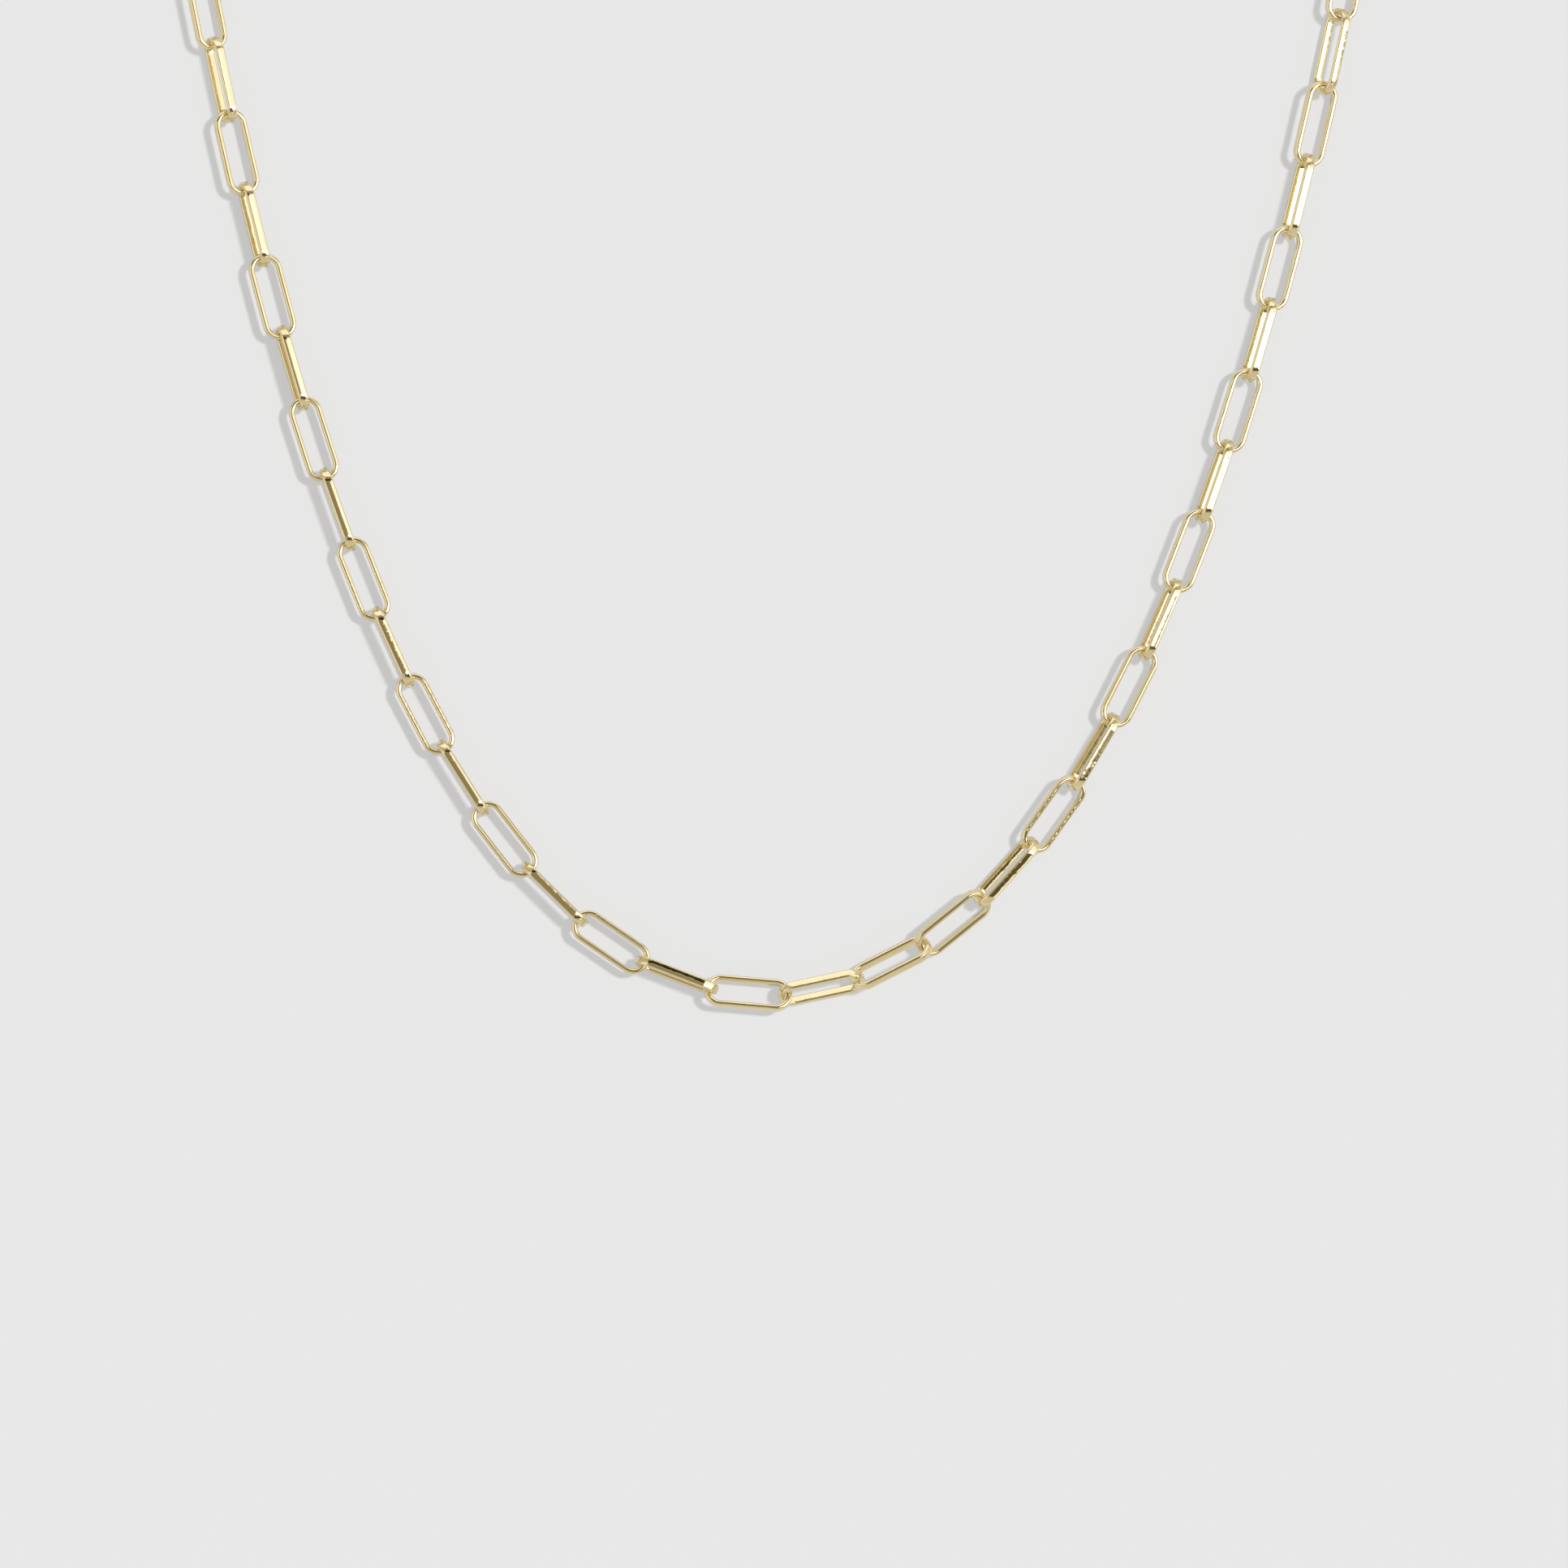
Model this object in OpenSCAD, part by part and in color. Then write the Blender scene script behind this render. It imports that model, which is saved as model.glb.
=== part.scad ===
// Paperclip chain necklace: one closed loop of long flat-wire links with a plain clasp.
// The lower part hangs in its own curve, as on a wall, and the unseen top is a round arch.
// X is to the right as seen from the front, Z is up, and the front of the necklace looks along -Y.
// The origin is the top of the loop, on the chain's centre line, where a neck or a hook holds it up.

/* [Loop] */
// Radius of the hanging curve at its lowest point
sag_r = 21.35; // [18:0.05:26]
// How far the middle of the bottom link lies to the left of the lowest point
low_shift = 1.7; // [0:0.1:3]
// Links from the bottom link up to the clasp on the left, not counting the bottom one
left_links = 33; // [29:2:45]
// Links from the bottom link up to the clasp on the right
right_links = 34; // [30:2:46]

/* [Link] */
// Outer length of a link
link_l = 7.6; // [7:0.05:9]
// Outer width of a link
link_w = 2.88; // [2.8:0.02:3.4]
// Thickness of the flattened wire, measured in the plane of a link
wire_t = 0.5; // [0.4:0.01:0.52]
// Height of the flattened wire, square to the plane of a link
wire_h = 0.82; // [0.7:0.01:0.84]
// Play between two links where they are seated in each other
link_gap = 0.21; // [0.2:0.01:0.4]

/* [Clasp] */
// Outer length of the clasp
clasp_l = 17; // [14:0.5:22]
// Outer width of the clasp at its hook end
hook_w = 5.6; // [4.8:0.1:7]
// Outer width of the clasp at its eye end
eye_w = 3.8; // [3.6:0.1:4.6]
// Width of the metal round both windows
clasp_wall = 0.9; // [0.7:0.05:1.1]
// Width of the metal between the two windows
bridge_w = 1.6; // [1:0.1:3]
// Thickness of the clasp, square to the loop
clasp_t = 1.1; // [0.9:0.05:1.2]
// Play between the clasp and the link that passes through it
clasp_gap = 0.36; // [0.34:0.01:0.5]

/* [Hidden] */
$fn = 48;
GOLD = "#dcc183";
hair = 0.02;

// Roll of the links about their own length, in degrees: 0 shows the whole link from the front and
// 90 shows it edge on. A positive roll brings the link's inner bar towards the front. The rows
// are [link, roll] for the links that the front view shows, counted from the bottom one and
// negative to the left. Those between two rows take a roll between, and past the ends the
// links alternate plainly.
EVEN_ROLL = [[-24, 0], [-16, -28], [-14, -19], [-12, -9], [-8, -1], [-4, 0], [-2, -4], [0, -23],
    [2, -48], [4, -67], [6, -73], [9, -77], [12, -74], [14, -73], [16, -57], [24, -90]];
ODD_ROLL = [[-23, 90], [-15, 66], [-13, 74], [-11, 78], [-9, 86], [-5, 88], [-3, 89], [-1, 81],
    [1, 56], [3, 31], [5, 21], [7, 14], [9, 13], [11, 13], [13, 16], [15, 26], [23, 0]];

// A link: two straight bars and two round ends
bar_l = link_l - link_w;
mid_r = (link_w - wire_t) / 2;
pitch = link_l - 2 * wire_t - link_gap;

// The clasp's stretch of the loop, from the seat of one link in it to the seat of the other
clasp_span = clasp_l - 2 * clasp_wall - 2 * (clasp_gap - link_gap / 2);
loop_l = (left_links + 1 + right_links) * pitch + clasp_span;

// The hanging curve is a catenary. Its length from the lowest point to where it leans by an angle
// is sag_r * tan(lean), and there a round arch goes on without a kink and closes the loop.
function half_width(lean) = sag_r * ln(tan(lean) + sqrt(1 + tan(lean) * tan(lean)));
function arch_radius(lean) = half_width(lean) / sin(lean);
function half_loop(lean) = sag_r * tan(lean) + arch_radius(lean) * (180 - lean) * PI / 180;
function solve_lean(low, high, steps) =
    let (mid = (low + high) / 2)
    steps == 0 ? mid
    : half_loop(mid) < loop_l / 2 ? solve_lean(mid, high, steps - 1)
    : solve_lean(low, mid, steps - 1);
arch_lean = solve_lean(45, 89, 40);
arch_r = arch_radius(arch_lean);
hang_l = sag_r * tan(arch_lean);
arch_z = sag_r / cos(arch_lean) - sag_r + arch_r * cos(arch_lean);
top_z = arch_z + arch_r;

// Point [x, z] of the loop at a length along it from the lowest point, positive to the right
function hang_x(s) = sag_r * ln(s / sag_r + sqrt(1 + s * s / (sag_r * sag_r)));
function hang_z(s) = sqrt(sag_r * sag_r + s * s) - sag_r;
function arch_turn(s) = arch_lean + (s - hang_l) / arch_r * 180 / PI;
function right_point(s) =
    s < hang_l ? [hang_x(s), hang_z(s) - top_z]
    : [arch_r * sin(arch_turn(s)), arch_z - arch_r * cos(arch_turn(s)) - top_z];
function loop_point(s) =
    let (p = right_point(abs(s)))
    [s < 0 ? -p[0] : p[0], p[1]];

// Seat between link i and link i + 1, and the direction and middle of link i
function seat(i) = loop_point((i + 0.5) * pitch - low_shift);
function heading(from, to) = atan2(to[1] - from[1], to[0] - from[0]);
function lean(i) = heading(seat(i - 1), seat(i));
function middle(i) = (seat(i - 1) + seat(i)) / 2;
function roll(i) = lookup(i, i % 2 == 0 ? EVEN_ROLL : ODD_ROLL);

// Where the loop bends, a link's neighbours pull its round ends from one side, so the link
// hangs off the line through its seats by this much, measured across its own width.
function wrap(angle) = angle > 180 ? angle - 360 : angle < -180 ? angle + 360 : angle;
function half_turn(i) = wrap(lean(i + 1) - lean(i - 1)) / 4;
function hang_off(i) = mid_r * tan(half_turn(i)) * cos(roll(i));

// Stands its children in the loop: their X goes along the loop, their Y to its inside, and
// their Z to the front
module stand(point, angle, turn = 0) {
    translate([point[0], 0, point[1]])
        rotate([0, -angle, 0])
            rotate([90 + turn, 0, 0])
                children();
}

// Section of the flattened wire: flat on two sides and round on the edges
module wire_section() {
    square([wire_t, wire_h - wire_t], center = true);
    for (side = [-1, 1])
        translate([0, side * (wire_h - wire_t) / 2])
            circle(d = wire_t);
}

module link() {
    for (side = [-1, 1])
        translate([0, side * mid_r, 0])
            rotate([90, 0, 90])
                linear_extrude(bar_l, center = true)
                    wire_section();
    for (end = [0, 180])
        rotate(end)
            translate([bar_l / 2, 0, 0])
                rotate_extrude(angle = 180, start = -90)
                    translate([mid_r, 0])
                        wire_section();
}

module links(first, last) {
    for (i = [first:last])
        stand(middle(i), lean(i), roll(i))
            translate([0, -hang_off(i), 0])
                link();
}

module left_chain() {
    color(GOLD)
        links(-left_links, 0);
}

module right_chain() {
    color(GOLD)
        links(1, right_links);
}

// Teardrop: two circles on the X axis, at x1 and x2, and the straight sides along both. The sides
// lie a hair inside the lines that touch the circles, so that they cut into both.
module teardrop(x1, r1, x2, r2) {
    side = acos((r1 - r2) / (x2 - x1));
    translate([x1, 0])
        circle(r1);
    translate([x2, 0])
        circle(r2);
    polygon([
        for (p = [[x1, r1, -1], [x2, r2, -1], [x2, r2, 1], [x1, r1, 1]])
            [p[0] + (p[1] - hair) * cos(side), (p[1] - hair) * sin(side) * p[2]]
    ]);
}

// The clasp is one closed body with a long hook window and a small round eye. The last link
// on each side passes through one of them.
module clasp() {
    hook_r = hook_w / 2;
    eye_r = eye_w / 2;
    hook_x = hook_r - clasp_l / 2;
    eye_x = clasp_l / 2 - eye_r;
    window_end = eye_x - eye_r + clasp_wall - bridge_w;
    window_r = eye_r - clasp_wall;
    color(GOLD)
        stand((seat(right_links) + seat(-left_links - 1)) / 2,
            heading(seat(right_links), seat(-left_links - 1)))
            linear_extrude(clasp_t, center = true)
                difference() {
                    teardrop(hook_x, hook_r, eye_x, eye_r);
                    teardrop(hook_x, hook_r - clasp_wall, window_end - window_r, window_r);
                    translate([eye_x, 0])
                        circle(eye_r - clasp_wall);
                }
}

left_chain();
right_chain();
clasp();
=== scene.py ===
"""Paperclip chain necklace, dressed for its portrait.

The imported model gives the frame. The two strands of long links and the clasp are shaped
again here as fine numpy surfaces on the same sizes, in metres, and given a polished pale
gold finish. A pale wall close behind, a plain floor, studio light and a long camera
complete the picture.

X is to the right as seen from the front, Z is up and the front looks along -Y. The origin
is the top of the loop, on the chain's centre line.
"""

import logging
import math
from dataclasses import dataclass, field
from enum import Enum
from typing import ClassVar

import bpy
import numpy as np
from mathutils import Matrix, Vector
from mathutils.geometry import tessellate_polygon

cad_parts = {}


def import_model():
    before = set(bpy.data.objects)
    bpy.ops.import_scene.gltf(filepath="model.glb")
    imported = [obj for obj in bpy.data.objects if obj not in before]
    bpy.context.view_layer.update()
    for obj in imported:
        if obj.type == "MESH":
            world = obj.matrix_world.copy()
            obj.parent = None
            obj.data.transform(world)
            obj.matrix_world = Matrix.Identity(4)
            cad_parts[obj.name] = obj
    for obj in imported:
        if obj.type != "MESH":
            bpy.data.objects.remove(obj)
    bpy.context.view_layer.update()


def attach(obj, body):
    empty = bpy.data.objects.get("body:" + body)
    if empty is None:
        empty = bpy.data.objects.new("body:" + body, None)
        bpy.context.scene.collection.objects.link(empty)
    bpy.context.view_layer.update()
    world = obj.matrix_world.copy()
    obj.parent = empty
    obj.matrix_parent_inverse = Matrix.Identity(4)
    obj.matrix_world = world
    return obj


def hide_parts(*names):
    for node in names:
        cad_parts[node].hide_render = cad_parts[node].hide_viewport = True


LOG = logging.getLogger("necklace")
MM = 0.001

# What a node's input takes: another node's output, a number or a colour
Source = bpy.types.NodeSocket | float | tuple


class Strand(Enum):
    """The two strands of the loop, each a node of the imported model."""

    LEFT = "left_chain"
    RIGHT = "right_chain"


class Slot(Enum):
    """The record's material slots."""

    CHAIN = "gold"
    CLASP = "clasp_gold"


# Shape of the loop


@dataclass
class LoopCurve:
    """The line that the necklace hangs in: a catenary below and a round arch above.

    Attributes:
        sag: Radius of the hanging curve at its lowest point.
        shift: How far the bottom link's middle lies to the left of the lowest point.
        left_links: Links up the left side, not counting the bottom one.
        right_links: Links up the right side.
        pitch: Distance from one seat to the next.
        clasp_span: Length of the loop that the clasp takes.
        lean: How steeply the catenary leans where the arch takes over, in radians.
        arch: Radius of the arch.
        hang: Length of the catenary from its lowest point to the arch.
        arch_height: Height of the arch's middle above the lowest point.
        top: Height of the loop.
    """

    LEANS: ClassVar[tuple] = (45.0, 89.0)
    HALVINGS: ClassVar[int] = 40

    sag: float = 21.35 * MM
    shift: float = 1.7 * MM
    left_links: int = 33
    right_links: int = 34
    pitch: float = 6.39 * MM
    clasp_span: float = 14.69 * MM
    lean: float = field(init=False)
    arch: float = field(init=False)
    hang: float = field(init=False)
    arch_height: float = field(init=False)
    top: float = field(init=False)

    def __post_init__(self) -> None:
        """Finds the lean at which the arch takes over, by halving the range of leans."""
        whole = (self.left_links + 1 + self.right_links) * self.pitch + self.clasp_span
        low, high = (math.radians(lean) for lean in self.LEANS)
        for _ in range(self.HALVINGS):
            middle = (low + high) / 2
            low, high = (middle, high) if self.half_loop(middle) < whole / 2 else (low, middle)
        self.lean = (low + high) / 2
        self.arch = self.half_width(self.lean) / math.sin(self.lean)
        self.hang = self.sag * math.tan(self.lean)
        self.arch_height = self.sag / math.cos(self.lean) - self.sag
        self.arch_height += self.arch * math.cos(self.lean)
        self.top = self.arch_height + self.arch

    def half_width(self, lean: float) -> float:
        """Half the loop's width where the catenary leans by an angle."""
        return self.sag * math.asinh(math.tan(lean))

    def half_loop(self, lean: float) -> float:
        """Half the loop's length if the arch starts at that lean: catenary plus arc."""
        return self.sag * math.tan(lean) + self.half_width(lean) / math.sin(lean) * (math.pi - lean)

    def points(self, length: np.ndarray) -> np.ndarray:
        """Points of the loop.

        The catenary at a length s has x = sag * asinh(s / sag) and z = sqrt(sag^2 + s^2) - sag.
        Past its end the arch turns on about its own middle by the rest of s over its radius.

        Args:
            length: Lengths along the loop from its lowest point, positive to the right.

        Returns:
            An array of [x, z] rows.
        """
        s = np.abs(length)
        turn = self.lean + (s - self.hang) / self.arch
        hanging = s < self.hang
        x = np.where(hanging, self.sag * np.arcsinh(s / self.sag), self.arch * np.sin(turn))
        z = np.where(
            hanging,
            np.hypot(self.sag, s) - self.sag,
            self.arch_height - self.arch * np.cos(turn),
        )
        return np.stack([np.where(length < 0, -x, x), z - self.top], -1)

    def seats(self, numbers: np.ndarray) -> np.ndarray:
        """Seats between each link and the next one."""
        return self.points((numbers + 0.5) * self.pitch - self.shift)

    def leans(self, numbers: np.ndarray) -> np.ndarray:
        """Headings of the links, from the seat before to the seat after."""
        run = self.seats(numbers) - self.seats(numbers - 1)
        return np.arctan2(run[..., 1], run[..., 0])

    def middles(self, numbers: np.ndarray) -> np.ndarray:
        """Middles of the links, halfway between their seats."""
        return (self.seats(numbers) + self.seats(numbers - 1)) / 2

    def numbers(self, strand: Strand) -> np.ndarray:
        """Numbers of a strand's links, counted from the bottom one and negative to the left.

        Args:
            strand: The strand.

        Returns:
            Its link numbers from left to right.
        """
        if strand is Strand.LEFT:
            return np.arange(-self.left_links, 1)
        return np.arange(1, self.right_links + 1)


@dataclass
class LinkRoll:
    """How far each link is rolled about its own length.

    Attributes:
        even: Rows of link number and roll in degrees, for the even links.
        odd: The same for the odd links.
    """

    even: tuple = (
        (-24, 0), (-16, -28), (-14, -19), (-12, -9), (-8, -1), (-4, 0), (-2, -4), (0, -23),
        (2, -48), (4, -67), (6, -73), (9, -77), (12, -74), (14, -73), (16, -57), (24, -90),
    )
    odd: tuple = (
        (-23, 90), (-15, 66), (-13, 74), (-11, 78), (-9, 86), (-5, 88), (-3, 89), (-1, 81),
        (1, 56), (3, 31), (5, 21), (7, 14), (9, 13), (11, 13), (13, 16), (15, 26), (23, 0),
    )

    def angles(self, numbers: np.ndarray) -> np.ndarray:
        """Rolls of links, in a straight line between the rows.

        Args:
            numbers: Link numbers.

        Returns:
            Their rolls in radians.
        """
        even, odd = np.array(self.even, float), np.array(self.odd, float)
        rolls = np.where(
            numbers % 2 == 0,
            np.interp(numbers, even[:, 0], even[:, 1]),
            np.interp(numbers, odd[:, 0], odd[:, 1]),
        )
        return np.radians(rolls)


# Mesh helpers


@dataclass
class Skin:
    """A surface ready to go into a mesh.

    Attributes:
        places: Vertex places, one row each.
        normals: Vertex normals, one row each.
        faces: Corner vertices of each face.
        layout: Flat coordinates in millimetres of every face corner, for patterns.
    """

    places: np.ndarray
    normals: np.ndarray
    faces: list[list[int]]
    layout: np.ndarray

    def put(self, name: str) -> bpy.types.Object:
        """Makes an object at the origin whose mesh is this surface.

        Args:
            name: Name of the object and of its mesh.

        Returns:
            The object, in the scene's collection.
        """
        mesh = bpy.data.meshes.new(name)
        mesh.from_pydata(self.places.tolist(), [], self.faces)
        mesh.update()
        sheet = mesh.uv_layers.new(name="wire")
        sheet.data.foreach_set("uv", self.layout.astype(np.float32).ravel())
        mesh.shade_smooth()
        mesh.normals_split_custom_set_from_vertices(self.normals.tolist())
        mesh.validate()
        piece = bpy.data.objects.new(name, mesh)
        bpy.context.scene.collection.objects.link(piece)
        return piece


def wrapped_quads(rings: int, around: int) -> np.ndarray:
    """Faces of a grid that closes both ways, as a ring does.

    Args:
        rings: Number of rings along the path.
        around: Number of points in each ring.

    Returns:
        Rows of four grid numbers, ring * around + point.
    """
    ring, point = np.meshgrid(np.arange(rings), np.arange(around), indexing="ij")
    after, beside = (ring + 1) % rings, (point + 1) % around
    corners = [(ring, point), (after, point), (after, beside), (ring, beside)]
    return np.stack([r * around + p for r, p in corners], -1).reshape(-1, 4)


def wrapped_layout(along: np.ndarray, across: np.ndarray) -> np.ndarray:
    """Flat coordinates of each face corner of such a grid, with no jump where it closes.

    Args:
        along: Position of every ring and, last, of the first one again after a full turn.
        across: Position of every point and, last, of the first one again.

    Returns:
        An array of rings by points by four corners by two.
    """
    rings, around = len(along) - 1, len(across) - 1
    ring, point = np.meshgrid(np.arange(rings), np.arange(around), indexing="ij")
    corners = [(ring, point), (ring + 1, point), (ring + 1, point + 1), (ring, point + 1)]
    return np.stack([np.stack([along[r], across[p]], -1) for r, p in corners], -2)


# Links


@dataclass
class LinkShape:
    """One long link of flattened wire, with straight sides and round ends.

    Attributes:
        length: Outer length.
        width: Outer width.
        thick: Thickness of the wire in the link's plane.
        high: Height of the wire across that plane.
        flat: Breadth of the nearly flat part of the wire's wide faces.
        crown: How far those faces bulge, a hair.
        side_rings: Rings along each straight side.
        end_rings: Rings round each end.
        edge_points: Points over each narrow edge of the wire.
        face_points: Points over each wide face.
    """

    length: float = 7.6 * MM
    width: float = 2.88 * MM
    thick: float = 0.5 * MM
    high: float = 0.82 * MM
    flat: float = 0.50 * MM
    crown: float = 0.022 * MM
    side_rings: int = 20
    end_rings: int = 24
    edge_points: int = 9
    face_points: int = 4

    @property
    def bar(self) -> float:
        """Length of each straight side."""
        return self.length - self.width

    @property
    def bend(self) -> float:
        """Radius of the wire's centre line round an end."""
        return (self.width - self.thick) / 2

    def section(self) -> tuple[np.ndarray, np.ndarray]:
        """Outline of the flattened wire, anticlockwise, as outward and upward parts.

        Each wide face is a shallow parabola over its flat breadth. Each narrow edge is the
        greater part of half an ellipse, from the lean that the face ends with on one side to
        the same lean on the other, so its corners are tight and its middle is softly domed.

        Returns:
            Points and their unit normals, one row each.
        """
        half, shoulder = self.flat / 2, self.thick / 2 - self.crown
        start = math.atan((self.high / 2 - half) / shoulder * 2 * self.crown / half)
        reach = (self.high / 2 - half) / (1 - math.sin(start))
        shoulder_reach = shoulder / math.cos(start)
        rise = np.linspace(-1, 1, self.face_points + 2)[1:-1]
        face = np.stack([shoulder + self.crown * (1 - rise**2), half * rise], -1)
        face_slope = np.stack([np.ones_like(rise), 2 * self.crown / half * rise], -1)
        sweep = np.linspace(start, math.pi - start, self.edge_points)
        lift = half - reach * math.sin(start)
        edge = np.stack([shoulder_reach * np.cos(sweep), lift + reach * np.sin(sweep)], -1)
        edge_slope = np.stack([reach * np.cos(sweep), shoulder_reach * np.sin(sweep)], -1)
        points = np.concatenate([face, edge, -face, -edge])
        slopes = np.concatenate([face_slope, edge_slope, -face_slope, -edge_slope])
        return points, slopes / np.linalg.norm(slopes, axis=1, keepdims=True)

    @staticmethod
    def directions(angle: np.ndarray) -> np.ndarray:
        """Unit vectors in the link's plane at those angles."""
        return np.stack([np.cos(angle), np.sin(angle)], -1)

    def path(self) -> tuple[np.ndarray, np.ndarray, np.ndarray]:
        """Centre line of the wire, round the link from the middle of one side.

        Returns:
            Points in the link's plane, outward unit normals, and lengths along the path with
            the full turn last.
        """
        bar, bend = self.bar, self.bend
        swing = np.linspace(0, math.pi, self.end_rings, endpoint=False)
        run = np.linspace(0, bar, self.side_rings, endpoint=False)
        right = self.directions(swing - math.pi / 2)
        left = self.directions(swing + math.pi / 2)
        up, down = (np.tile([0.0, way], (len(run), 1)) for way in (1.0, -1.0))
        points = np.concatenate([
            bend * right + [bar / 2, 0],
            np.stack([bar / 2 - run, np.full_like(run, bend)], -1),
            bend * left - [bar / 2, 0],
            np.stack([run - bar / 2, np.full_like(run, -bend)], -1),
        ])
        normals = np.concatenate([right, up, left, down])
        steps = np.concatenate([swing * bend, math.pi * bend + run])
        half = math.pi * bend + bar
        return points, normals, np.concatenate([steps, steps + half, [2 * half]])

    def grid(self) -> tuple[np.ndarray, np.ndarray]:
        """The link's surface in its own axes: the section carried round the path.

        Returns:
            Points and unit normals, each an array of rings by points by three.
        """
        spine, outward, _ = self.path()
        outline, slope = self.section()
        flat = spine[:, None, :] + outward[:, None, :] * outline[None, :, :1]
        height = np.broadcast_to(outline[None, :, 1:], (*flat.shape[:2], 1))
        lean = outward[:, None, :] * slope[None, :, :1]
        lift = np.broadcast_to(slope[None, :, 1:], (*flat.shape[:2], 1))
        return np.concatenate([flat, height], -1), np.concatenate([lean, lift], -1)


@dataclass
class ChainStrand:
    """One strand of the necklace, a row of links hooked through each other.

    Attributes:
        strand: Which of the two it is.
        loop: The curve it hangs in.
        shape: The shape of its links.
        roll: The roll of its links.
        line_shift: How far the drawing lines shift from one link to the next, in
            millimetres, so that no two links look the same.
    """

    strand: Strand
    loop: LoopCurve = field(default_factory=LoopCurve)
    shape: LinkShape = field(default_factory=LinkShape)
    roll: LinkRoll = field(default_factory=LinkRoll)
    line_shift: float = 23.7

    def axes(self, numbers: np.ndarray) -> tuple[np.ndarray, np.ndarray]:
        """Places and axes of the links.

        A link's X follows its heading. Its Y is the loop's inward side turned towards the
        front by the roll, and its Z is the front turned away from the inward side. Where the
        loop bends, a link hangs off the line through its seats by its bend radius times the
        tangent of a quarter of the neighbours' turn.

        Args:
            numbers: Link numbers.

        Returns:
            Middles, one row a link, and axes, three rows of three a link.
        """
        lean, roll = self.loop.leans(numbers), self.roll.angles(numbers)
        still = np.zeros_like(lean)
        along = np.stack([np.cos(lean), still, np.sin(lean)], -1)
        inward = np.stack([-np.sin(lean), still, np.cos(lean)], -1)
        front = np.array([0.0, -1.0, 0.0])
        sine, cosine = np.sin(roll)[:, None], np.cos(roll)[:, None]
        across = sine * front + cosine * inward
        facing = cosine * front - sine * inward
        turn = self.loop.leans(numbers + 1) - self.loop.leans(numbers - 1)
        turn = (turn + math.pi) % (2 * math.pi) - math.pi
        off = self.shape.bend * np.tan(turn / 4) * np.cos(roll)
        middle = self.loop.middles(numbers)
        middle = np.stack([middle[:, 0], still, middle[:, 1]], -1) - off[:, None] * across
        return middle, np.stack([along, across, facing], 1)

    def skin(self) -> Skin:
        """The surface of all the links, each link's grid set on its own axes.

        Returns:
            The surface, ready for a mesh.
        """
        numbers = self.loop.numbers(self.strand)
        middle, axes = self.axes(numbers)
        places, normals = self.shape.grid()
        rings, around = places.shape[:2]
        whole = middle[:, None, None, :] + np.einsum("rpk,lkj->lrpj", places, axes)
        turned = np.einsum("rpk,lkj->lrpj", normals, axes)
        quads = wrapped_quads(rings, around)
        faces = quads[None] + (np.arange(len(numbers)) * rings * around)[:, None, None]
        outline, _ = self.shape.section()
        closed = np.concatenate([outline, outline[:1]])
        girth = np.cumsum(np.linalg.norm(np.diff(closed, axis=0), axis=1))
        layout = wrapped_layout(self.shape.path()[2], np.concatenate([[0.0], girth])) / MM
        shifts = np.stack([numbers * self.line_shift, numbers * 0.0], -1)
        return Skin(
            whole.reshape(-1, 3),
            turned.reshape(-1, 3),
            faces.reshape(-1, 4).tolist(),
            (layout[None] + shifts[:, None, None, None, :]).reshape(-1, 2),
        )

    def build(self, finish: bpy.types.Material) -> bpy.types.Object:
        """Makes the strand and lets it stand for its node.

        Args:
            finish: The metal it wears.

        Returns:
            The strand's object.
        """
        piece = self.skin().put("fine_" + self.strand.value)
        piece.data.materials.append(finish)
        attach(piece, "root")
        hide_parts(self.strand.value)
        links, faces = len(self.loop.numbers(self.strand)), len(piece.data.polygons)
        LOG.info("%s: %d links, %d faces", piece.name, links, faces)
        return piece


# Clasp


@dataclass
class Outline:
    """A closed outline round two circles on the X axis, which may be the same one.

    Attributes:
        start: Middle of the circle on the left.
        start_r: Its radius.
        stop: Middle of the circle on the right.
        stop_r: Its radius.
        metal_inside: True if the metal lies inside the outline, False round a hole.
    """

    start: float
    start_r: float
    stop: float
    stop_r: float
    metal_inside: bool

    def line(
        self, inset: np.ndarray, arc: int = 30, side: int = 14
    ) -> tuple[np.ndarray, np.ndarray]:
        """Points of the outline moved into the metal, and the normals out of the metal.

        A circle moved in by d has its radius less d, or plus d round a hole, about the same
        middle. The straight sides join the ends of the arcs.

        Args:
            inset: Distances into the metal, one for each copy of the outline.
            arc: Points on each arc.
            side: Points within each straight side.

        Returns:
            Points and normals, copies by points by two, anticlockwise.
        """
        sense = 1.0 if self.metal_inside else -1.0
        gap = self.stop - self.start
        tilt = math.acos((self.start_r - self.stop_r) / gap) if gap > 0 else math.pi / 2
        right, left = np.linspace(-tilt, tilt, arc), np.linspace(tilt, 2 * math.pi - tilt, arc)
        share = np.linspace(0, 1, side + 2)[1:-1] if gap > 0 else np.zeros(0)
        angle = np.concatenate([right, np.full_like(share, tilt), left, np.full_like(share, -tilt)])
        part = np.concatenate([np.ones(arc), 1 - share, np.zeros(arc), share])
        if gap == 0:
            angle = np.linspace(0, 2 * math.pi, 2 * arc, endpoint=False)
            part = np.zeros(2 * arc)
        middle = self.start + gap * part
        radius = self.start_r + (self.stop_r - self.start_r) * part
        normal = np.stack([np.cos(angle), np.sin(angle)], -1)
        reach = radius[None, :, None] - sense * inset[:, None, None]
        points = normal[None] * reach
        points[..., 0] += middle[None]
        return points, np.broadcast_to(normal[None] * sense, points.shape)


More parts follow.
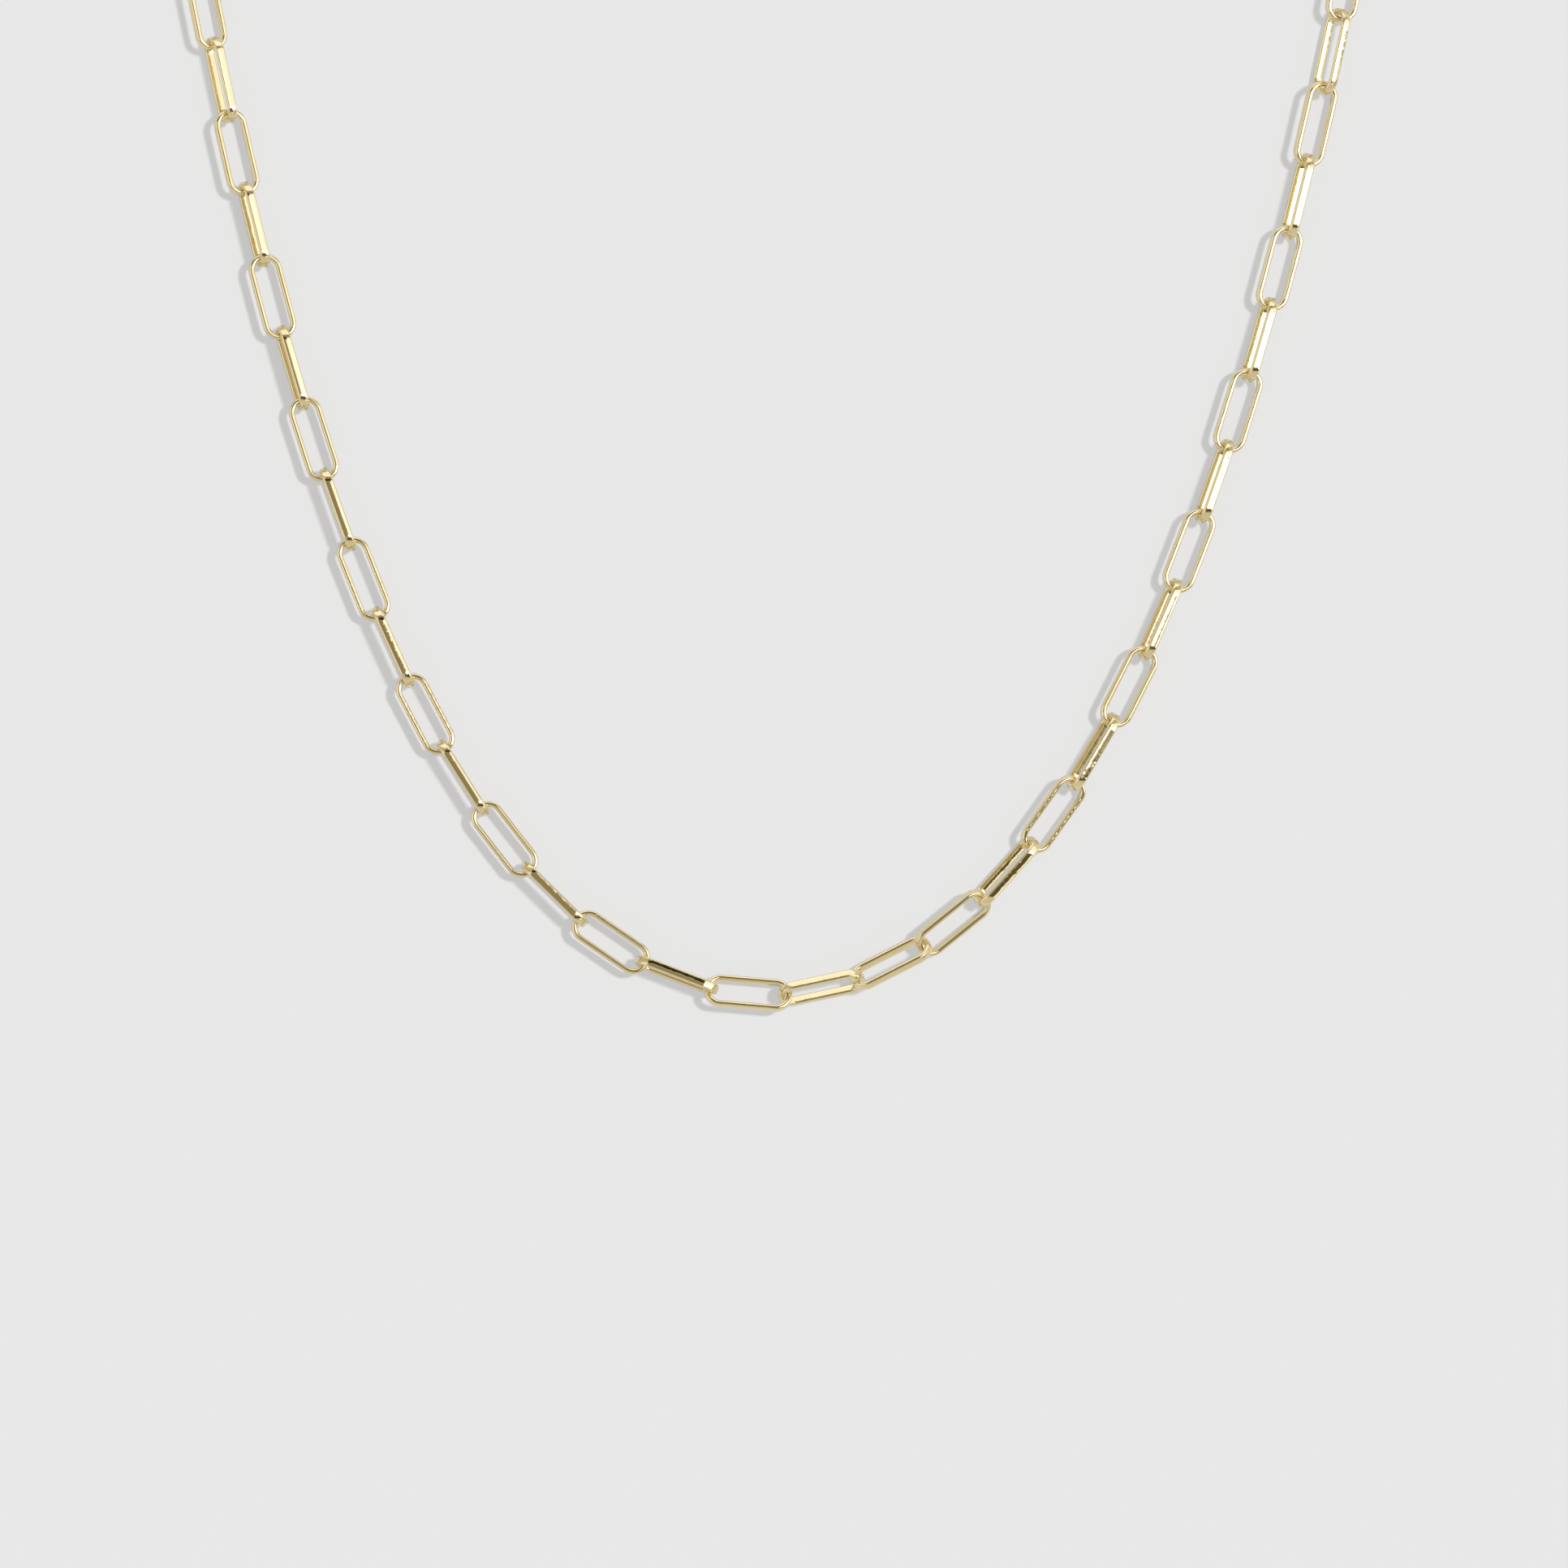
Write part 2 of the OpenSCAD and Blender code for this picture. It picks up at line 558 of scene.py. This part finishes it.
@dataclass
class Clasp:
    """The plain clasp at the top of the loop: a drop-shaped ring with a small eye.

    Attributes:
        loop: The curve of the loop, which the clasp closes.
        length: Outer length.
        hook: Outer width at the hook end.
        eye: Outer width at the eye end.
        wall: Width of the metal round both windows.
        bridge: Width of the metal between them.
        thick: Thickness, square to the loop.
        soft: Width of the rounding of its rims.
        rim_points: Points over each rounded rim.
    """

    loop: LoopCurve = field(default_factory=LoopCurve)
    length: float = 17 * MM
    hook: float = 5.6 * MM
    eye: float = 3.8 * MM
    wall: float = 0.9 * MM
    bridge: float = 1.6 * MM
    thick: float = 1.1 * MM
    soft: float = 0.42 * MM
    rim_points: int = 17

    def outlines(self) -> list[Outline]:
        """The three outlines of its flat shape.

        Returns:
            The outer outline, the long hook window and the round eye.
        """
        hook_r, eye_r = self.hook / 2, self.eye / 2
        hook_x, eye_x = hook_r - self.length / 2, self.length / 2 - eye_r
        small = eye_r - self.wall
        window_x = eye_x - eye_r + self.wall - self.bridge - small
        return [
            Outline(hook_x, hook_r, eye_x, eye_r, True),
            Outline(hook_x, hook_r - self.wall, window_x, small, False),
            Outline(eye_x, small, eye_x, small, False),
        ]

    def rim(self, outline: Outline) -> tuple[np.ndarray, np.ndarray]:
        """One rounded rim: half an ellipse carried along an outline.

        At an angle t from -90 to 90 degrees the rim lies soft * (1 - cos t) inside the
        outline and thick / 2 * sin t above the middle plane.

        Args:
            outline: The outline that it follows.

        Returns:
            Points and unit normals, path by profile by three.
        """
        sweep = np.linspace(-math.pi / 2, math.pi / 2, self.rim_points)
        flat, outward = outline.line(self.soft * (1 - np.cos(sweep)))
        sine, cosine = np.sin(sweep)[:, None, None], np.cos(sweep)[:, None, None]
        height = np.broadcast_to(self.thick / 2 * sine, (*flat.shape[:2], 1))
        lean = outward * (self.thick / 2 * cosine)
        lift = np.broadcast_to(self.soft * sine, height.shape)
        normals = np.concatenate([lean, lift], -1)
        normals = normals / np.linalg.norm(normals, axis=-1, keepdims=True)
        points = np.concatenate([flat, height], -1)
        if not outline.metal_inside:
            points, normals = points[:, ::-1], normals[:, ::-1]
        return points.transpose(1, 0, 2), normals.transpose(1, 0, 2)

    def skin(self) -> Skin:
        """The clasp's surface: three rounded rims and the two flat faces between them.

        Returns:
            The surface, ready for a mesh.
        """
        places, normals, faces, top, bottom, start = [], [], [], [], [], 0
        for outline in self.outlines():
            points, slopes = self.rim(outline)
            rings, across = points.shape[:2]
            number = start + np.arange(rings * across).reshape(rings, across)
            after = np.roll(number, -1, axis=0)
            quads = np.stack([number[:, :-1], after[:, :-1], after[:, 1:], number[:, 1:]], -1)
            faces += quads.reshape(-1, 4).tolist()
            places.append(points.reshape(-1, 3))
            normals.append(slopes.reshape(-1, 3))
            top.append(number[:, -1])
            bottom.append(number[:, 0])
            start += rings * across
        local, slopes = np.concatenate(places), np.concatenate(normals)
        faces += self.lid(local, np.concatenate(top), [len(t) for t in top], upward=True)
        faces += self.lid(local, np.concatenate(bottom), [len(b) for b in bottom], upward=False)
        corners = np.concatenate([np.array(face) for face in faces])
        axes, middle = self.axes()
        return Skin(local @ axes + middle, slopes @ axes, faces, local[corners][:, :2] / MM)

    @staticmethod
    def lid(
        local: np.ndarray, numbers: np.ndarray, counts: list[int], upward: bool
    ) -> list[list[int]]:
        """Triangles of a flat face between the outlines.

        Args:
            local: All points of the clasp in its own axes.
            numbers: Numbers of the points along the outlines, one outline after the other.
            counts: How many of them each outline has.
            upward: True if the face looks along the clasp's Z.

        Returns:
            Rows of three point numbers, wound so that the face looks outwards.
        """
        lines = np.split(local[numbers], np.cumsum(counts)[:-1])
        found = np.array(tessellate_polygon([[Vector(p) for p in line] for line in lines]))
        a, b, c = (local[numbers[found[:, k]]][:, :2] for k in range(3))
        turn = (b - a)[:, 0] * (c - a)[:, 1] - (b - a)[:, 1] * (c - a)[:, 0]
        wrong = (turn < 0) if upward else (turn > 0)
        found[wrong] = found[wrong][:, ::-1]
        return numbers[found].tolist()

    def axes(self) -> tuple[np.ndarray, np.ndarray]:
        """The clasp's axes and middle: its X runs from seat to seat, its Z to the front.

        Returns:
            The axes as rows, and the middle.
        """
        ends = self.loop.seats(np.array([self.loop.right_links, -self.loop.left_links - 1]))
        lean = math.atan2(ends[1, 1] - ends[0, 1], ends[1, 0] - ends[0, 0])
        along = [math.cos(lean), 0.0, math.sin(lean)]
        inward = [-math.sin(lean), 0.0, math.cos(lean)]
        middle = ends.mean(axis=0)
        return np.array([along, inward, [0.0, -1.0, 0.0]]), np.array([middle[0], 0.0, middle[1]])

    def build(self, finish: bpy.types.Material) -> bpy.types.Object:
        """Makes the clasp and lets it stand for its node.

        Args:
            finish: The metal it wears.

        Returns:
            The clasp's object.
        """
        piece = self.skin().put("fine_clasp")
        piece.data.materials.append(finish)
        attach(piece, "root")
        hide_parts("clasp")
        LOG.info("%s: %d faces", piece.name, len(piece.data.polygons))
        return piece


# Finishes


@dataclass
class NodeBench:
    """Lays out nodes in a tree, so that the finishes read as short lines.

    Attributes:
        tree: The node tree being laid out.
    """

    tree: bpy.types.NodeTree

    def add(self, kind: str, **settings: object) -> bpy.types.Node:
        """Adds a node.

        Args:
            kind: The node's type.
            **settings: Properties to set on it.

        Returns:
            The node.
        """
        node = self.tree.nodes.new(kind)
        for name, value in settings.items():
            setattr(node, name, value)
        return node

    def feed(self, target: bpy.types.NodeSocket, source: Source) -> None:
        """Links an output to an input, or sets the input to a plain value.

        Args:
            target: The input.
            source: What it gets.
        """
        if isinstance(source, bpy.types.NodeSocket):
            self.tree.links.new(source, target)
        else:
            target.default_value = source

    def math(self, operation: str, *values: Source) -> bpy.types.NodeSocket:
        """Adds a Math node.

        Args:
            operation: What it works out.
            *values: Its one, two or three inputs.

        Returns:
            Its result.
        """
        node = self.add("ShaderNodeMath", operation=operation)
        for socket, value in zip(node.inputs, values):
            self.feed(socket, value)
        return node.outputs[0]

    def span(
        self,
        value: Source,
        low: float,
        high: float,
        start: float = 0.0,
        stop: float = 1.0,
        style: str = "LINEAR",
    ) -> bpy.types.NodeSocket:
        """Adds a Map Range node, which holds its result between start and stop.

        Args:
            value: What it maps.
            low: The value that becomes start.
            high: The value that becomes stop.
            start: Result at low.
            stop: Result at high.
            style: How it goes from one to the other.

        Returns:
            Its result.
        """
        node = self.add("ShaderNodeMapRange", interpolation_type=style)
        for socket, item in zip(node.inputs, (value, low, high, start, stop)):
            self.feed(socket, item)
        return node.outputs[0]

    def blend(self, share: Source, first: Source, second: Source) -> bpy.types.NodeSocket:
        """Adds a Mix node for colours, whose colour sockets follow those for plain numbers.

        Args:
            share: How much of the second colour shows, from 0 to 1.
            first: The first colour.
            second: The second colour.

        Returns:
            The mixed colour.
        """
        node = self.add("ShaderNodeMix", data_type="RGBA")
        for number, item in ((0, share), (6, first), (7, second)):
            self.feed(node.inputs[number], item)
        return node.outputs[2]

    def noise(self, vector: Source, scale: float, detail: float) -> bpy.types.NodeSocket:
        """Adds a Noise Texture node.

        Args:
            vector: Where it is read.
            scale: How often it changes per unit of the vector.
            detail: How much finer noise lies on it.

        Returns:
            Its grey value.
        """
        node = self.add("ShaderNodeTexNoise")
        self.feed(node.inputs["Vector"], vector)
        self.feed(node.inputs["Scale"], scale)
        self.feed(node.inputs["Detail"], detail)
        return node.outputs["Fac"]


class PolishMarks:
    """The shader group that both metals use: soft waves, drawing lines and fine dents.

    The waves and dents are noise in space and come and go from link to link. The drawing
    lines are noise drawn out along the wire. The inputs are the heights of the three. Of
    the outputs, Height is in metres and feeds a Bump node, Dull goes from 0, where the
    metal is freshly polished, to 1, where handling has dulled it, and Tone goes from 0 to 1
    between the metal's two colours.

    Attributes:
        WAVES: Waves per metre.
        DENTS: Dents per metre.
        TONES: Changes of tone and dullness per metre.
        WEAR: Changes per metre of how strong the waves and dents are.
        WEAR_SPAN: Noise where they are weak and strong, and how strong they are there.
        LINES: Drawing lines per millimetre along the wire, across it and off it.
        LINE_DULL: How much the lines add to the dullness.
        DULL_SPAN: Noise where the metal starts to be dull, and where it is fully so.
        TONE_SPAN: Noise where the first tone ends, and where the second is reached.
    """

    NAME = "Polish Marks"
    WAVES = 1500.0
    DENTS = 3800.0
    TONES = 420.0
    WEAR = 110.0
    WEAR_SPAN = (0.42, 0.66, 0.25, 3.2)
    LINES = (0.7, 26.0, 1.0)
    LINE_DULL = 0.35
    DULL_SPAN = (0.45, 0.95)
    TONE_SPAN = (0.3, 0.7)

    def group(self) -> bpy.types.NodeTree:
        """The group, built on its first use.

        Returns:
            The node group.
        """
        if self.NAME in bpy.data.node_groups:
            return bpy.data.node_groups[self.NAME]
        tree = bpy.data.node_groups.new(self.NAME, "ShaderNodeTree")
        sockets = {"INPUT": ("Wave", "Line", "Dent"), "OUTPUT": ("Height", "Dull", "Tone")}
        for way, names in sockets.items():
            for name in names:
                tree.interface.new_socket(name=name, in_out=way, socket_type="NodeSocketFloat")
        bench = NodeBench(tree)
        inputs, outputs = bench.add("NodeGroupInput"), bench.add("NodeGroupOutput")
        place = bench.add("ShaderNodeTexCoord").outputs["Object"]
        flat = bench.add("ShaderNodeUVMap", uv_map="wire").outputs["UV"]
        stretch = bench.add("ShaderNodeMapping")
        bench.feed(stretch.inputs["Vector"], flat)
        stretch.inputs["Scale"].default_value = self.LINES
        waves = bench.noise(place, self.WAVES, detail=1.5)
        lines = bench.noise(stretch.outputs["Vector"], 1.0, detail=3.0)
        dents = bench.noise(place, self.DENTS, detail=1.0)
        broad = bench.noise(place, self.TONES, detail=2.0)
        wear = bench.noise(place, self.WEAR, detail=0.0)
        worn = bench.span(wear, *self.WEAR_SPAN)
        height = bench.math("MULTIPLY", waves, inputs.outputs["Wave"])
        height = bench.math("MULTIPLY_ADD", dents, inputs.outputs["Dent"], height)
        height = bench.math("MULTIPLY", height, worn)
        height = bench.math("MULTIPLY_ADD", lines, inputs.outputs["Line"], height)
        dull = bench.math("MULTIPLY_ADD", lines, self.LINE_DULL, broad)
        bench.feed(outputs.inputs["Height"], height)
        bench.feed(outputs.inputs["Dull"], bench.span(dull, *self.DULL_SPAN))
        bench.feed(outputs.inputs["Tone"], bench.span(broad, *self.TONE_SPAN))
        return tree


@dataclass(frozen=True)
class GoldFinish:
    """Polished pale yellow gold plate.

    Attributes:
        name: Name of the material.
        light: Colour where the plate is thin and bright.
        deep: Colour where it is warmer.
        polish: Roughness where it is freshly polished.
        dull: Roughness where handling has dulled it.
        wave: Height of the soft waves that rolling and bending left.
        line: Height of the fine lines along the wire.
        dent: Height of the fine dents.
    """

    name: str
    light: tuple = (0.93, 0.825, 0.55)
    deep: tuple = (0.90, 0.765, 0.47)
    polish: float = 0.05
    dull: float = 0.11
    wave: float = 1.3e-5
    line: float = 2e-7
    dent: float = 2.5e-6

    def material(self) -> bpy.types.Material:
        """Builds the material.

        Returns:
            The material, with its marks, tones and gloss from nodes.
        """
        material = bpy.data.materials.new(self.name)
        material.use_nodes = True
        bench = NodeBench(material.node_tree)
        shader = material.node_tree.nodes["Principled BSDF"]
        marks = bench.add("ShaderNodeGroup", node_tree=PolishMarks().group())
        marks.inputs["Wave"].default_value = self.wave
        marks.inputs["Line"].default_value = self.line
        marks.inputs["Dent"].default_value = self.dent
        tone = bench.blend(marks.outputs["Tone"], (*self.light, 1.0), (*self.deep, 1.0))
        bump = bench.add("ShaderNodeBump")
        bump.inputs["Distance"].default_value = 1.0
        bench.feed(bump.inputs["Height"], marks.outputs["Height"])
        bench.feed(shader.inputs["Base Color"], tone)
        gloss = bench.span(marks.outputs["Dull"], 0.0, 1.0, self.polish, self.dull)
        bench.feed(shader.inputs["Roughness"], gloss)
        bench.feed(shader.inputs["Normal"], bump.outputs["Normal"])
        shader.inputs["Metallic"].default_value = 1.0
        return material


@dataclass(frozen=True)
class PaleFinish:
    """A matt pale sheet lit from within. Polished metal close to it mirrors it darker than the
    camera sees it: painted shade in those reflections, standing in for the wall's shadows near the
    chain.

    It is seen from its front alone, so other views see past it.

    Attributes:
        name: Name of the material.
        shade: How much it gives back of the light that falls on it.
        glow: How much light it gives of its own.
        mirror_shade: How much of that glow the metal doesn't mirror, the painted shade in its
            reflections of the sheet.
    """

    name: str
    shade: float = 0.25
    glow: float = 0.434
    mirror_shade: float = 0.25

    def material(self) -> bpy.types.Material:
        """Builds the material.

        Returns:
            The material, matt in front and clear behind.
        """
        material = bpy.data.materials.new(self.name)
        material.use_nodes = True
        tree = material.node_tree
        bench = NodeBench(tree)
        shader, output = tree.nodes["Principled BSDF"], tree.nodes["Material Output"]
        shader.inputs["Base Color"].default_value = (self.shade, self.shade, self.shade, 1.0)
        # Painted shade in reflections: glossy rays see the glow lowered by a share, standing in for
        # the wall's shadows near the chain.
        mirror_shade_mask = bench.add("ShaderNodeLightPath").outputs["Is Glossy Ray"]
        strength = bench.math("MULTIPLY_ADD", mirror_shade_mask, -self.glow * self.mirror_shade, self.glow)
        bench.feed(shader.inputs["Emission Strength"], strength)
        shader.inputs["Emission Color"].default_value = (1.0, 1.0, 1.0, 1.0)
        shader.inputs["Roughness"].default_value = 1.0
        shader.inputs["Specular IOR Level"].default_value = 0.0
        clear = bench.add("ShaderNodeBsdfTransparent")
        side = bench.add("ShaderNodeMixShader")
        bench.feed(side.inputs[0], bench.add("ShaderNodeNewGeometry").outputs["Backfacing"])
        bench.feed(side.inputs[1], shader.outputs[0])
        bench.feed(side.inputs[2], clear.outputs[0])
        bench.feed(output.inputs["Surface"], side.outputs[0])
        return material


# Studio


@dataclass
class Backdrop:
    """The pale wall close behind the chain and the floor below it.

    Attributes:
        wall_y: Where the wall stands, just clear of the deepest link.
        floor_z: Where the floor lies, below the camera's view.
        reach: Half the width of both, and how far the floor comes forward.
        height: Height of the wall.
        cove: Radius of the curve between them.
        cove_points: Points along that curve.
    """

    wall_y: float = 1.48 * MM
    floor_z: float = -0.5
    reach: float = 2.6
    height: float = 2.6
    cove: float = 0.05
    cove_points: int = 13

    def build(self) -> None:
        """Makes the straight wall, and the floor with a quarter round up to the wall.

        The metal doesn't mirror the floor, because the chain is photographed far above one.
        """
        bend = np.linspace(0, math.pi / 2, self.cove_points)
        y = np.concatenate([[-self.reach], self.wall_y - self.cove + self.cove * np.sin(bend)])
        z = np.concatenate([[self.floor_z], self.floor_z + self.cove * (1 - np.cos(bend))])
        paint = PaleFinish("pale_wall").material()
        self.sheet("wall", np.array([self.wall_y] * 2), np.array([z[-1], self.height]), paint)
        self.sheet("floor", y, z, paint).visible_glossy = False

    def sheet(
        self, name: str, y: np.ndarray, z: np.ndarray, paint: bpy.types.Material
    ) -> bpy.types.Object:
        """One sheet of the backdrop: a line from front to top, drawn out from side to side.

        Args:
            name: Name of the sheet.
            y: Depths of the line's points.
            z: Their heights.
            paint: The finish.

        Returns:
            The sheet's object, which is only stage.
        """
        left = np.stack([np.full_like(y, -self.reach), y, z], -1)
        right = left * [-1.0, 1.0, 1.0]
        count = len(y)
        row = np.arange(count - 1)
        faces = np.stack([row, row + count, row + count + 1, row + 1], -1)
        mesh = bpy.data.meshes.new(name)
        mesh.from_pydata(np.concatenate([left, right]).tolist(), [], faces.tolist())
        mesh.shade_smooth()
        mesh.materials.append(paint)
        piece = bpy.data.objects.new(name, mesh)
        bpy.context.scene.collection.objects.link(piece)
        LOG.info("%s: %d faces", piece.name, len(mesh.polygons))
        return piece


@dataclass(frozen=True)
class SoftPanel:
    """A soft patch of the studio's surroundings, seen from the necklace.

    Attributes:
        turn: Degrees to the right of the camera.
        rise: Degrees above it.
        wide: Half its width in degrees.
        tall: Half its height in degrees.
        soft: Width of its soft border in degrees.
        glow: Its brightness.
        warmth: How far its colour leans from white, at 0, to warm grey, at 1.
        slope: How far it sinks for each degree to the right.
        WARM: What full warmth takes from red, green and blue.
    """

    WARM: ClassVar[tuple] = (0.0, 0.13, 0.42)

    turn: float
    rise: float
    wide: float
    tall: float
    soft: float
    glow: float
    warmth: float = 0.0
    slope: float = 0.0

    @property
    def colour(self) -> tuple:
        """Its colour times its brightness, as red, green, blue and 1."""
        return (*(self.glow * (1.0 - part * self.warmth) for part in self.WARM), 1.0)


@dataclass
class Studio:
    """The light: a bright room with panels, and one key light from the right.

    The panels are what the polished metal mirrors. The key light gives the wall its shadows.

    Attributes:
        room: The room itself, all round.
        panels: Its brighter and darker patches.
        plain: What a camera sees of the room directly.
        dome: What the matt wall gets of it from every side.
        key: Strength of the key light.
        key_turn: Degrees that it stands to the right of the camera.
        key_rise: Degrees that it stands above it.
        key_size: Its width in degrees.
    """

    room: SoftPanel = SoftPanel(0, 0, 180, 90, 1, 0.52, 0.6)
    panels: tuple = (
        SoftPanel(0, 90, 180, 38, 8, 1.10, 0.1),
        SoftPanel(0, -90, 180, 42, 10, 0.66, 0.5),
        SoftPanel(-52, -3, 26, 20, 5, 0.94, 0.3),
        SoftPanel(50, 9, 37, 16, 3, 1.14, 0.1),
        SoftPanel(-9, 0, 18, 12, 2.5, 0.28, 1.0),
        SoftPanel(-3, 26, 18, 8, 4, 0.03, 1.2),
        SoftPanel(12, 39, 32, 5, 5, 0.30, 1.0),
        SoftPanel(26, -25.5, 20, 5.5, 6, 0.10, 1.2),
        SoftPanel(28, 11, 9, 5, 4, 1.35),
        SoftPanel(56, -36, 7, 4, 3, 1.1, 0.3),
        SoftPanel(37.5, -4.8, 21.5, 5, 2.5, 2.9, 0.0, 0.05),
        SoftPanel(14, -1, 5, 3, 2.5, 1.6),
        SoftPanel(56, -9, 12, 9, 4, 2.4),
    )
    plain: float = 0.80
    dome: float = 0.48
    key: float = 3.4
    key_turn: float = 28.0
    key_rise: float = 11.2
    key_size: float = 6.5

    def build(self) -> None:
        """Sets the surroundings and the key light.

        A direction's turn is the angle of its x against its -y, and its rise is the arcsine
        of its z. Each panel in turn covers those before it.
        """
        scene = bpy.context.scene
        world = bpy.data.worlds.new("studio")
        scene.world = world
        world.use_nodes = True
        bench = NodeBench(world.node_tree)
        ray = bench.add("ShaderNodeTexCoord").outputs["Generated"]
        split = bench.add("ShaderNodeSeparateXYZ")
        bench.feed(split.inputs[0], ray)
        x, y, z = split.outputs
        turn = bench.math("DEGREES", bench.math("ARCTAN2", x, bench.math("MULTIPLY", y, -1.0)))
        rise = bench.math("DEGREES", bench.math("ARCSINE", z))
        light = self.room.colour
        for panel in self.panels:
            light = bench.blend(self.patch(bench, turn, rise, panel), light, panel.colour)
        path = bench.add("ShaderNodeLightPath").outputs
        light = bench.blend(path["Is Glossy Ray"], (self.dome, self.dome, self.dome, 1.0), light)
        light = bench.blend(path["Is Camera Ray"], light, (self.plain, self.plain, self.plain, 1.0))
        bench.feed(world.node_tree.nodes["Background"].inputs["Color"], light)
        self.key_light()
        LOG.info("studio: %d panels and a key light", len(self.panels))

    @staticmethod
    def patch(
        bench: NodeBench, turn: Source, rise: Source, panel: SoftPanel
    ) -> bpy.types.NodeSocket:
        """How much a panel covers a direction: one soft step across times one up and down.

        A sloping panel takes the rise plus its slope times the turn from its own middle.

        Args:
            bench: The world's nodes.
            turn: Socket with the direction's turn in degrees.
            rise: Socket with its rise in degrees.
            panel: The panel.

        Returns:
            A socket that is 1 on the panel and 0 away from it.
        """
        steps = []
        beside = bench.math("SUBTRACT", turn, panel.turn)
        level = bench.math("MULTIPLY_ADD", beside, panel.slope, rise)
        spans = ((turn, panel.turn, panel.wide), (level, panel.rise, panel.tall))
        for value, middle, half in spans:
            away = bench.math("ABSOLUTE", bench.math("SUBTRACT", value, middle))
            steps.append(bench.span(away, half, half + panel.soft, 1.0, 0.0, "SMOOTHSTEP"))
        return bench.math("MULTIPLY", *steps)

    def key_light(self) -> bpy.types.Object:
        """Makes the key light, far away to the right and a little above.

        Returns:
            The light's object.
        """
        lamp = bpy.data.lights.new("key", "SUN")
        lamp.energy = self.key
        lamp.angle = math.radians(self.key_size)
        light = bpy.data.objects.new("key", lamp)
        turn, rise = math.radians(self.key_turn), math.radians(self.key_rise)
        level = Vector((math.sin(turn), -math.cos(turn), 0.0)) * math.cos(rise)
        towards = level + Vector((0.0, 0.0, math.sin(rise)))
        light.visible_glossy = False
        light.rotation_mode = "QUATERNION"
        light.rotation_quaternion = towards.to_track_quat("Z", "Y")
        bpy.context.scene.collection.objects.link(light)
        return light


@dataclass
class Portrait:
    """The camera: a long lens square to the wall.

    Attributes:
        middle: What the middle of the picture shows, in the loop's plane.
        frame: Width of the picture there.
        lens: Focal length in millimetres.
        sensor: Width of the sensor in millimetres.
        roll: How far the camera is turned, anticlockwise, in radians.
        near: Where its view starts.
        far: Where its view ends.
    """

    middle: tuple = (1.3 * MM, 0.0, -155.79 * MM)
    frame: float = 134.94 * MM
    lens: float = 320.0
    sensor: float = 36.0
    roll: float = 0.005
    near: float = 0.01
    far: float = 20.0

    def build(self) -> bpy.types.Object:
        """Makes the camera and gives it to the scene.

        Returns:
            The camera's object.
        """
        data = bpy.data.cameras.new("portrait")
        data.lens, data.sensor_width = self.lens, self.sensor
        data.clip_start, data.clip_end = self.near, self.far
        camera = bpy.data.objects.new("portrait", data)
        away = self.frame * self.lens / self.sensor
        cosine, sine = math.cos(self.roll), math.sin(self.roll)
        right, up, back = (cosine, 0.0, sine), (-sine, 0.0, cosine), (0.0, -1.0, 0.0)
        turned = Matrix((right, up, back)).transposed().to_4x4()
        camera.matrix_world = Matrix.Translation(Vector(self.middle) + Vector(back) * away) @ turned
        scene = bpy.context.scene
        scene.collection.objects.link(camera)
        scene.camera = camera
        scene.view_settings.view_transform = "Standard"
        return camera


def main() -> None:
    """Builds the necklace, the studio and the camera in order."""
    logging.basicConfig(level=logging.INFO, format="%(name)s: %(message)s")
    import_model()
    Portrait().build()
    chain_gold = GoldFinish("chain_gold").material()
    clasp_gold = GoldFinish(
        "clasp_gold_polish", polish=0.09, dull=0.18, wave=3e-6, dent=2e-6
    ).material()
    for strand in Strand:
        ChainStrand(strand).build(chain_gold)
    Clasp().build(clasp_gold)
    Backdrop().build()
    Studio().build()


if __name__ == "__main__":
    main()
